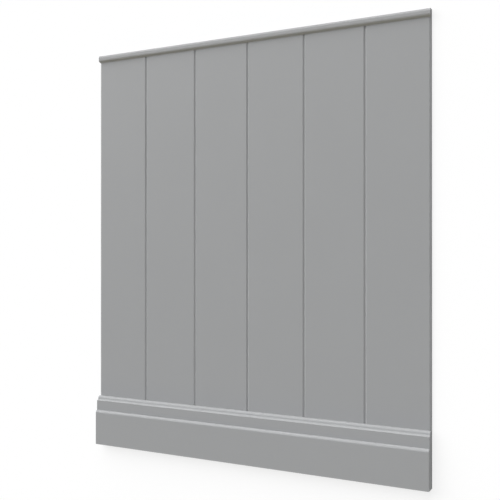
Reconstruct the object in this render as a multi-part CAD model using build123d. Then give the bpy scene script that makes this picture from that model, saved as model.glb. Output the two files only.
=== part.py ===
from build123d import *
import os

# Section of painted wall panelling, lying on its back with its painted face up.
# Six V-jointed boards run along Y, a moulded skirting crosses their floor end
# and a rebated capping closes their top end.
# X runs across the boards, +Y towards the capping and +Z out of the face.
# The origin is under the middle of the panel. All sizes are in millimetres.

# Whole panel
panel_height = 1000.0  # floor edge to the top of the capping

# Boards
board_count = 6
board_cover = 144.0  # width that one board adds to the panel
board_thickness = 8.0
bevel_width = 3.3  # each face edge, so that a V joint is twice as wide
bevel_depth = 2.6
tongue_thickness = 2.4
tongue_length = 6.0
tongue_bevel = 0.5  # on both edges of the tongue's nose
tongue_play = 0.1  # between the tongue and each cheek of its groove
tongue_end_gap = 1.0  # between the tongue's nose and the bottom of its groove
back_relief = 0.4  # how far the cheek behind the groove stays back from the joint

# Capping, with a rebate over the boards' top ends. Its face is rounded above and below.
cap_height = 17.0  # down the face of the panel
cap_nose = 6.5  # how far it stands out from the boards' face
cap_top = 7.5  # solid part above the rebate
rebate_gap = 0.5  # between the boards' top ends and the rebate
top_round_height = 5.4
top_round_back = 2.9  # how far the top edge stays back from the nose
top_round_sagitta = 0.6  # how far the round bulges from its chord
nose_height = 4.8  # flat between the two rounds
under_round_height = 3.6
under_round_back = 1.3  # from the nose back to where the sloping underside begins
under_round_sagitta = 0.33

# Skirting, measured up from the floor edge and out from the boards' face
skirting_height = 122.0
skirting_thickness = 18.0  # lower flat
skirting_waist = 13.0  # upper flat
skirting_lip = 3.2  # top edge
ogee_height = 10.7  # from the top edge down to the upper flat
ogee_swell = 1.2  # how far its upper half bulges from its chord
ogee_hollow = 1.3  # how deep its lower half dips below its chord
step_height = 81.0  # top of the lower flat
ovolo_height = 6.0  # rounded step between the two flats
ovolo_sagitta = 1.2  # how far the rounded step bulges from its chord

# Worked out from the sizes above
panel_width = board_count * board_cover
floor_edge = -panel_height / 2
cap_edge = panel_height / 2
board_ends = cap_edge - cap_top - rebate_gap
board_length = board_ends - floor_edge
edge_height = board_thickness - bevel_depth  # square part of a board's edge
tongue_low = (edge_height - tongue_thickness) / 2
tongue_high = tongue_low + tongue_thickness


def board(has_tongue):
    """One board, its groove on the left and its tongue, if any, on the right."""
    groove_depth = tongue_length + tongue_end_gap
    left_edge = [
        (bevel_width, board_thickness),
        (0, edge_height),
        (0, tongue_high + tongue_play),
        (groove_depth, tongue_high + tongue_play),
        (groove_depth, tongue_low - tongue_play),
        (back_relief, tongue_low - tongue_play),
        (back_relief, 0),
    ]
    right_edge = [
        (board_cover, edge_height),
        (board_cover - bevel_width, board_thickness),
    ]
    tongue = [
        (board_cover, tongue_low),
        (board_cover + tongue_length - tongue_bevel, tongue_low),
        (board_cover + tongue_length, tongue_low + tongue_bevel),
        (board_cover + tongue_length, tongue_high - tongue_bevel),
        (board_cover + tongue_length - tongue_bevel, tongue_high),
        (board_cover, tongue_high),
    ]
    corner = [(board_cover, 0)]
    outline = left_edge + corner + (tongue if has_tongue else []) + right_edge
    section = Plane.XZ.offset(-board_ends) * make_face(Polyline(*outline, close=True))
    return extrude(section, amount=board_length)


def along_panel(section):
    """A trim piece: its section, drawn in Y and Z, run from end to end of the panel."""
    start = Plane.YZ.offset(-panel_width / 2)
    return extrude(start * section, amount=panel_width)


def capping():
    """Rebated strip over the boards' ends, with two rounded edges and a sloping underside."""
    underside = cap_edge - cap_height
    nose = board_thickness + cap_nose
    top_edge = (cap_edge, nose - top_round_back)
    nose_top = (cap_edge - top_round_height, nose)
    nose_foot = (cap_edge - top_round_height - nose_height, nose)
    slope_top = (
        cap_edge - top_round_height - nose_height - under_round_height,
        nose - under_round_back,
    )
    outline = Polyline(
        top_edge,
        (cap_edge, 0),
        (board_ends + rebate_gap, 0),
        (board_ends + rebate_gap, board_thickness),
        (underside, board_thickness),
        slope_top,
    )
    outline += SagittaArc(slope_top, nose_foot, under_round_sagitta)
    outline += Line(nose_foot, nose_top)
    outline += SagittaArc(nose_top, top_edge, top_round_sagitta)
    return along_panel(make_face(outline))


def skirting():
    """Moulded board: an ogee at the top and two flats with a rounded step between them."""
    back = board_thickness
    top = floor_edge + skirting_height
    lip = back + skirting_lip
    waist = back + skirting_waist
    front = back + skirting_thickness
    ogee_top = (top, lip)
    ogee_foot = (top - ogee_height, waist)
    ogee_middle = (top - ogee_height / 2, (lip + waist) / 2)
    step_top = (floor_edge + step_height + ovolo_height, waist)
    step_foot = (floor_edge + step_height, front)
    outline = Polyline(step_foot, (floor_edge, front), (floor_edge, back), (top, back), ogee_top)
    outline += SagittaArc(ogee_top, ogee_middle, -ogee_swell)
    outline += SagittaArc(ogee_middle, ogee_foot, ogee_hollow)
    outline += Line(ogee_foot, step_top)
    outline += SagittaArc(step_top, step_foot, -ovolo_sagitta)
    return along_panel(make_face(outline))


os.makedirs("parts", exist_ok=True)
for number in range(1, board_count + 1):
    left = (number - 1) * board_cover - panel_width / 2
    piece = Pos(left, 0, 0) * board(has_tongue=number < board_count)
    export_step(piece, f"parts/board_{number}.step")
export_step(capping(), "parts/capping.step")
export_step(skirting(), "parts/skirting_board.step")
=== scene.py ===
import math
import bpy
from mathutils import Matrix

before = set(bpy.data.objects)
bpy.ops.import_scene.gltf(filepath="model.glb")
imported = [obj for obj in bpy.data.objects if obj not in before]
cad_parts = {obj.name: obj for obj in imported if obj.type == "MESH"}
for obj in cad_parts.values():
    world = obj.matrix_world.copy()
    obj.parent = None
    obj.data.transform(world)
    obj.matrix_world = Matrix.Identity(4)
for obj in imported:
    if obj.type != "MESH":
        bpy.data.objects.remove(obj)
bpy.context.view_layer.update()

# Boards
# Six tongue-and-groove boards of medium-density fibreboard. Their faces are rolled with grey satin
# paint, the machined slopes of the V joints are painted lighter as painted light, and the backs,
# which go against the wall, are bare fibreboard.
BOARD_NODES = [name for name in sorted(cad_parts) if name.startswith("board_")]
BOARD_GREY = (0.296, 0.300, 0.303, 1)
FIBRE_LIGHT = (0.40, 0.27, 0.165, 1)
FIBRE_DARK = (0.27, 0.17, 0.095, 1)
PAINT_IOR = 1.47
PAINT_SPECULAR = 0.4
FACE_ROUGHNESS = 0.44
CUT_ROUGHNESS = 0.60
BACK_ROUGHNESS = 0.85
STREAK_ROUGHNESS = 0.08  # how much rougher a brush's or cutter's streak makes the coat
COAT_DRIFT = 0.03  # share by which the coat's grey drifts
WIDE_DRIFT = 6.0  # patches in a metre
FINE_DRIFT = 60.0
FINE_SHARE = 0.5  # of the fine patches, beside the wide ones
# Painted light: the joints' slopes are painted lighter than the faces.
JOINT_PAINTED_LIGHT = 0.10  # how much lighter the joints' slopes are than the faces
CUT_TILT = 0.06  # how far a face leans from the flat before it counts as all cut
END_NORMAL = 0.9  # from here on along X, a face is at an end of the panel
BACK_NORMAL = -0.5  # from here down along Z, a face is the back
ROLLER_STIPPLES = 750.0  # in a metre
ROLLER_RELIEF = 0.00007  # metres, as all relief here
MILLED_RELIEF = 0.00005
ALONG_BOARD = (900.0, 9.0, 900.0)  # streaks in a metre, each way
FIBRES = (350.0, 900.0, 900.0)  # in a metre, each way


def effect(name, inputs, outputs):
    """An empty shader group. Its inputs are (name, kind, value) and its outputs (name, kind)."""
    group = bpy.data.node_groups.new(name, "ShaderNodeTree")
    for label, kind, value in inputs:
        socket = group.interface.new_socket(name=label, in_out="INPUT", socket_type=kind)
        socket.default_value = value
    for label, kind in outputs:
        group.interface.new_socket(name=label, in_out="OUTPUT", socket_type=kind)
    return group, group.nodes.new("NodeGroupInput"), group.nodes.new("NodeGroupOutput")


def feed(tree, socket, value):
    """Gives an input socket its value, or links it where the value is another socket."""
    if isinstance(value, (int, float, tuple)):
        socket.default_value = value
    else:
        tree.links.new(value, socket)


def maths(tree, operation, first, second=0.0):
    """The result of a Math node on sockets or numbers."""
    node = tree.nodes.new("ShaderNodeMath")
    node.operation = operation
    feed(tree, node.inputs[0], first)
    feed(tree, node.inputs[1], second)
    return node.outputs[0]


def noise(tree, place, scale, detail):
    """Smooth noise from 0 to 1 at a place, with its scale a number or a socket."""
    node = tree.nodes.new("ShaderNodeTexNoise")
    node.inputs["Detail"].default_value = detail
    tree.links.new(place, node.inputs["Vector"])
    feed(tree, node.inputs["Scale"], scale)
    return node.outputs["Fac"]


def stretched(tree, place, stretch):
    """A place multiplied, axis by axis, by a vector or a vector socket."""
    node = tree.nodes.new("ShaderNodeVectorMath")
    node.operation = "MULTIPLY"
    tree.links.new(place, node.inputs[0])
    feed(tree, node.inputs[1], stretch)
    return node.outputs[0]


def mixed(tree, share, first, second):
    """A colour between two, by a share from 0 to 1."""
    node = tree.nodes.new("ShaderNodeMix")
    node.data_type = "RGBA"
    tree.links.new(share, node.inputs["Factor"])
    feed(tree, node.inputs[6], first)  # its two colours are inputs 6 and 7, the result is output 2
    feed(tree, node.inputs[7], second)
    return node.outputs[2]


# The coat's grey drifts by a hair where it lies fuller or thinner, and is painted lighter on the
# slopes as painted light
paint_tone, tone_in, tone_out = effect(
    "paint tone",
    [
        ("Paint", "NodeSocketColor", BOARD_GREY),
        ("Drift", "NodeSocketFloat", COAT_DRIFT),
        ("Lift", "NodeSocketFloat", 0.0),
    ],
    [("Color", "NodeSocketColor")],
)
tone_place = paint_tone.nodes.new("ShaderNodeTexCoord").outputs["Object"]
tone_wide = noise(paint_tone, tone_place, WIDE_DRIFT, detail=2.0)
tone_fine = noise(paint_tone, tone_place, FINE_DRIFT, detail=3.0)
tone_fine = maths(paint_tone, "MULTIPLY", tone_fine, FINE_SHARE)
tone_sum = maths(paint_tone, "ADD", tone_wide, tone_fine)
tone_middle = (1 + FINE_SHARE) / 2
tone_shift = maths(paint_tone, "SUBTRACT", tone_sum, tone_middle)
tone_drift = maths(paint_tone, "MULTIPLY", tone_shift, tone_in.outputs["Drift"])
tone_gain = maths(paint_tone, "ADD", tone_drift, tone_in.outputs["Lift"])
tone_scale = paint_tone.nodes.new("ShaderNodeVectorMath")
tone_scale.operation = "SCALE"
paint_tone.links.new(tone_in.outputs["Paint"], tone_scale.inputs[0])
paint_tone.links.new(maths(paint_tone, "ADD", tone_gain, 1.0), tone_scale.inputs["Scale"])
paint_tone.links.new(tone_scale.outputs[0], tone_out.inputs["Color"])

# Which way a face looks: all that was cut, what of it isn't at an end and gets painted light, and
# the bare back
cut_faces, cut_in, cut_out = effect(
    "cut faces",
    [("Edge Softness", "NodeSocketFloat", CUT_TILT)],
    [("Cut", "NodeSocketFloat"), ("Slope", "NodeSocketFloat"), ("Back", "NodeSocketFloat")],
)
facing = cut_faces.nodes.new("ShaderNodeSeparateXYZ")
face_normal = cut_faces.nodes.new("ShaderNodeTexCoord").outputs["Normal"]
cut_faces.links.new(face_normal, facing.inputs[0])
upright = maths(cut_faces, "ABSOLUTE", facing.outputs["Z"])
tilt = maths(cut_faces, "SUBTRACT", 1.0, upright)
cut_share = maths(cut_faces, "DIVIDE", tilt, cut_in.outputs["Edge Softness"])
cut_share = maths(cut_faces, "MINIMUM", cut_share, 1.0)
sideways = maths(cut_faces, "ABSOLUTE", facing.outputs["X"])
not_end = maths(cut_faces, "LESS_THAN", sideways, END_NORMAL)
painted_light_slope = maths(cut_faces, "MULTIPLY", cut_share, not_end)
back_share = maths(cut_faces, "LESS_THAN", facing.outputs["Z"], BACK_NORMAL)
cut_faces.links.new(cut_share, cut_out.inputs["Cut"])
cut_faces.links.new(painted_light_slope, cut_out.inputs["Slope"])
cut_faces.links.new(back_share, cut_out.inputs["Back"])

# The fine stipple that a roller leaves
roller_stipple, roller_in, roller_out = effect(
    "roller stipple",
    [
        ("Stipples", "NodeSocketFloat", ROLLER_STIPPLES),
        ("Relief", "NodeSocketFloat", ROLLER_RELIEF),
    ],
    [("Height", "NodeSocketFloat")],
)
roller_place = roller_stipple.nodes.new("ShaderNodeTexCoord").outputs["Object"]
roller_bumps = noise(roller_stipple, roller_place, roller_in.outputs["Stipples"], detail=2.0)
roller_height = maths(roller_stipple, "MULTIPLY", roller_bumps, roller_in.outputs["Relief"])
roller_stipple.links.new(roller_height, roller_out.inputs["Height"])

# Fine lines that run one way, from a brush's bristles or a moulder's cutters
run_lines, lines_in, lines_out = effect(
    "run lines",
    [
        ("Stretch", "NodeSocketVector", ALONG_BOARD),
        ("Relief", "NodeSocketFloat", MILLED_RELIEF),
    ],
    [("Height", "NodeSocketFloat"), ("Streak", "NodeSocketFloat")],
)
lines_place = run_lines.nodes.new("ShaderNodeTexCoord").outputs["Object"]
lines_run = stretched(run_lines, lines_place, lines_in.outputs["Stretch"])
streak = noise(run_lines, lines_run, scale=1.0, detail=4.0)
streak_height = maths(run_lines, "MULTIPLY", streak, lines_in.outputs["Relief"])
run_lines.links.new(streak_height, lines_out.inputs["Height"])
run_lines.links.new(streak, lines_out.inputs["Streak"])

# Bare fibreboard: short pressed fibres, some of them darker
bare_fibre, fibre_in, fibre_out = effect(
    "bare fibreboard",
    [("Light", "NodeSocketColor", FIBRE_LIGHT), ("Dark", "NodeSocketColor", FIBRE_DARK)],
    [("Color", "NodeSocketColor")],
)
fibre_place = bare_fibre.nodes.new("ShaderNodeTexCoord").outputs["Object"]
fibre_run = stretched(bare_fibre, fibre_place, FIBRES)
fibre_share = noise(bare_fibre, fibre_run, scale=1.0, detail=6.0)
fibre_mix = mixed(bare_fibre, fibre_share, fibre_in.outputs["Light"], fibre_in.outputs["Dark"])
bare_fibre.links.new(fibre_mix, fibre_out.inputs["Color"])


def placed(tree, group, **values):
    """An effect in a material, with its inputs given by name."""
    node = tree.nodes.new("ShaderNodeGroup")
    node.node_tree = group
    for label, value in values.items():
        node.inputs[label].default_value = value
    return node


def painted_board(name, grey, painted_light, stretch, stipple, brush):
    """Satin paint over fibreboard: duller where it was cut, and lighter on its cut slopes by the
    given share of painted light, with the relief of a roller's stipple and of brushed or milled
    lines, and bare on its back."""
    material = bpy.data.materials.new(name)
    material.use_nodes = True
    tree = material.node_tree
    shader = tree.nodes["Principled BSDF"]
    shader.inputs["IOR"].default_value = PAINT_IOR
    shader.inputs["Specular IOR Level"].default_value = PAINT_SPECULAR
    tones = placed(tree, paint_tone, Paint=grey, Drift=COAT_DRIFT)
    cuts = placed(tree, cut_faces)
    rolled = placed(tree, roller_stipple, Stipples=ROLLER_STIPPLES, Relief=stipple)
    lines = placed(tree, run_lines, Stretch=stretch, Relief=brush)
    fibres = placed(tree, bare_fibre)
    # Painted light: the cut slopes are made lighter than the faces by the given share.
    tree.links.new(maths(tree, "MULTIPLY", cuts.outputs["Slope"], painted_light), tones.inputs["Lift"])
    color = mixed(tree, cuts.outputs["Back"], tones.outputs["Color"], fibres.outputs["Color"])
    tree.links.new(color, shader.inputs["Base Color"])
    dull = maths(tree, "MULTIPLY", cuts.outputs["Cut"], CUT_ROUGHNESS - FACE_ROUGHNESS)
    bare = maths(tree, "MULTIPLY", cuts.outputs["Back"], BACK_ROUGHNESS - FACE_ROUGHNESS)
    uneven = maths(tree, "MULTIPLY", lines.outputs["Streak"], STREAK_ROUGHNESS)
    coat = maths(tree, "ADD", uneven, FACE_ROUGHNESS)
    rough = maths(tree, "ADD", maths(tree, "ADD", dull, bare), coat)
    tree.links.new(rough, shader.inputs["Roughness"])
    height = maths(tree, "ADD", rolled.outputs["Height"], lines.outputs["Height"])
    relief = tree.nodes.new("ShaderNodeBump")
    relief.inputs["Distance"].default_value = 1.0
    tree.links.new(height, relief.inputs["Height"])
    tree.links.new(relief.outputs["Normal"], shader.inputs["Normal"])
    return material


def paint(node, material):
    """Gives a CAD node this material alone."""
    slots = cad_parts[node].data.materials
    slots.clear()
    slots.append(material)


board_paint = painted_board(
    "rolled paint",
    BOARD_GREY,
    painted_light=JOINT_PAINTED_LIGHT,
    stretch=ALONG_BOARD,
    stipple=ROLLER_RELIEF,
    brush=MILLED_RELIEF,
)
for board in BOARD_NODES:
    paint(board, board_paint)

# Skirting
# One moulded length of the same fibreboard, pinned over the boards' lower ends. It is brushed along
# its run with the same paint, so that its marks lie across those of the boards.
SKIRTING_GREY = (0.295, 0.299, 0.302, 1)
# Painted light: the mouldings' slopes are painted lighter than their faces.
MOULDING_PAINTED_LIGHT = 0.08
BRUSH_STIPPLE = 0.00002
BRUSH_RELIEF = 0.0001
ALONG_PANEL = (9.0, 900.0, 900.0)


def brushed_moulding(name, grey):
    """The boards' paint, laid on with a brush along the moulding."""
    return painted_board(
        name,
        grey,
        painted_light=MOULDING_PAINTED_LIGHT,
        stretch=ALONG_PANEL,
        stipple=BRUSH_STIPPLE,
        brush=BRUSH_RELIEF,
    )


paint("skirting_board", brushed_moulding("brushed skirting paint", SKIRTING_GREY))

# Capping
# A rebated strip of fibreboard over the boards' top ends, with a rounded nose. It is brushed along
# its run like the skirting.
CAPPING_GREY = (0.298, 0.300, 0.302, 1)
paint("capping", brushed_moulding("brushed capping paint", CAPPING_GREY))

# Floor
# A pale matt floor under the panel. The camera and the gloss see it as white paper, on which the
# panel's own shadow stays.
FLOOR_WIDTH = 14.0
FLOOR_GREY = (0.8, 0.8, 0.8, 1)
FLOOR_ROUGHNESS = 0.9
PAPER_WHITE = (1, 1, 1, 1)
PAPER_SHARE = 0.75  # of the white that glows by itself and takes no shadow


def seen_white(tree):
    """1 for the rays that should find white: the camera's, and those off gloss or through glass."""
    rays = tree.nodes.new("ShaderNodeLightPath").outputs
    looks = maths(tree, "MAXIMUM", rays["Is Camera Ray"], rays["Is Glossy Ray"])
    return maths(tree, "MAXIMUM", looks, rays["Is Transmission Ray"])


bpy.ops.object.select_all(action="DESELECT")
bpy.ops.mesh.primitive_plane_add(size=FLOOR_WIDTH, location=(0, 0, 0))
floor = bpy.context.object
floor.name = "floor"
floor_material = bpy.data.materials.new("floor paper")
floor_material.use_nodes = True
floor_tree = floor_material.node_tree
floor_shader = floor_tree.nodes["Principled BSDF"]
floor_shader.inputs["Roughness"].default_value = FLOOR_ROUGHNESS
floor_shader.inputs["Specular IOR Level"].default_value = 0.0
floor_looks = seen_white(floor_tree)
floor_color = mixed(floor_tree, floor_looks, FLOOR_GREY, PAPER_WHITE)
floor_tree.links.new(floor_color, floor_shader.inputs["Base Color"])
floor_glow = floor_tree.nodes.new("ShaderNodeEmission")
floor_mix = floor_tree.nodes.new("ShaderNodeMixShader")
glow_share = maths(floor_tree, "MULTIPLY", floor_looks, PAPER_SHARE)
floor_tree.links.new(glow_share, floor_mix.inputs[0])
floor_tree.links.new(floor_shader.outputs[0], floor_mix.inputs[1])
floor_tree.links.new(floor_glow.outputs[0], floor_mix.inputs[2])
floor_tree.links.new(floor_mix.outputs[0], floor_tree.nodes["Material Output"].inputs["Surface"])
floor.data.materials.append(floor_material)

# Light
# An even surround, and one very wide soft lamp, low over the capping's left end, so that the
# mouldings' upper sides stand out. A weak warm lamp lies beyond the floor edge, like the light that
# a wooden floor throws up under the capping. The surround looks white to the camera and the gloss.
SURROUND = 0.365
SURROUND_TINT = (0.941, 0.954, 1, 1)  # makes up for the warm lamp, so that the faces stay neutral
MAIN_POWER = 5.6
MAIN_COLOR = (1, 1, 1)
WARM_POWER = 0.55
WARM_COLOR = (1, 0.84, 0.24)
world = bpy.data.worlds.new("surround")
bpy.context.scene.world = world
world.use_nodes = True
world_tree = world.node_tree
surround = world_tree.nodes["Background"]
world_looks = seen_white(world_tree)
world_color = mixed(world_tree, world_looks, SURROUND_TINT, PAPER_WHITE)
world_tree.links.new(world_color, surround.inputs["Color"])
world_added = maths(world_tree, "MULTIPLY", world_looks, 1 - SURROUND)
world_strength = maths(world_tree, "ADD", world_added, SURROUND)
world_tree.links.new(world_strength, surround.inputs["Strength"])


def soft_sun(name, azimuth, elevation, spread, power, color):
    """A wide distant lamp: azimuth from +X towards +Y, elevation above the floor, and the angle
    that it spreads over, all in degrees."""
    lamp = bpy.data.lights.new(name, "SUN")
    lamp.angle = math.radians(spread)
    lamp.energy = power
    lamp.color = color
    piece = bpy.data.objects.new(name, lamp)
    piece.rotation_euler = (0, math.radians(90 - elevation), math.radians(azimuth))
    bpy.context.scene.collection.objects.link(piece)


soft_sun(
    "low over the capping",
    azimuth=120,
    elevation=15,
    spread=100,
    power=MAIN_POWER,
    color=MAIN_COLOR,
)
soft_sun(
    "back from the floor edge",
    azimuth=270,
    elevation=8,
    spread=40,
    power=WARM_POWER,
    color=WARM_COLOR,
)

# Camera
# It looks down on the panel from the right, as the photograph looks at it standing. Its place, turn
# and lens put the panel's outline and joints where the photograph has them.
CAMERA_PLACE = (0.8554, -0.0059, 1.6177)
CAMERA_YAW = 27.796  # degrees, as the pitch
CAMERA_PITCH = 0.126
FOCAL_PIXELS = 780.5
PICTURE_PIXELS = 500
SENSOR = 36.0  # millimetres
lens = bpy.data.cameras.new("camera")
lens.sensor_width = SENSOR
lens.lens = FOCAL_PIXELS / PICTURE_PIXELS * SENSOR
camera = bpy.data.objects.new("camera", lens)
camera.location = CAMERA_PLACE
camera.rotation_euler = (math.radians(CAMERA_PITCH), math.radians(CAMERA_YAW), 0)
bpy.context.scene.collection.objects.link(camera)
bpy.context.scene.camera = camera
bpy.context.scene.view_settings.view_transform = "Standard"
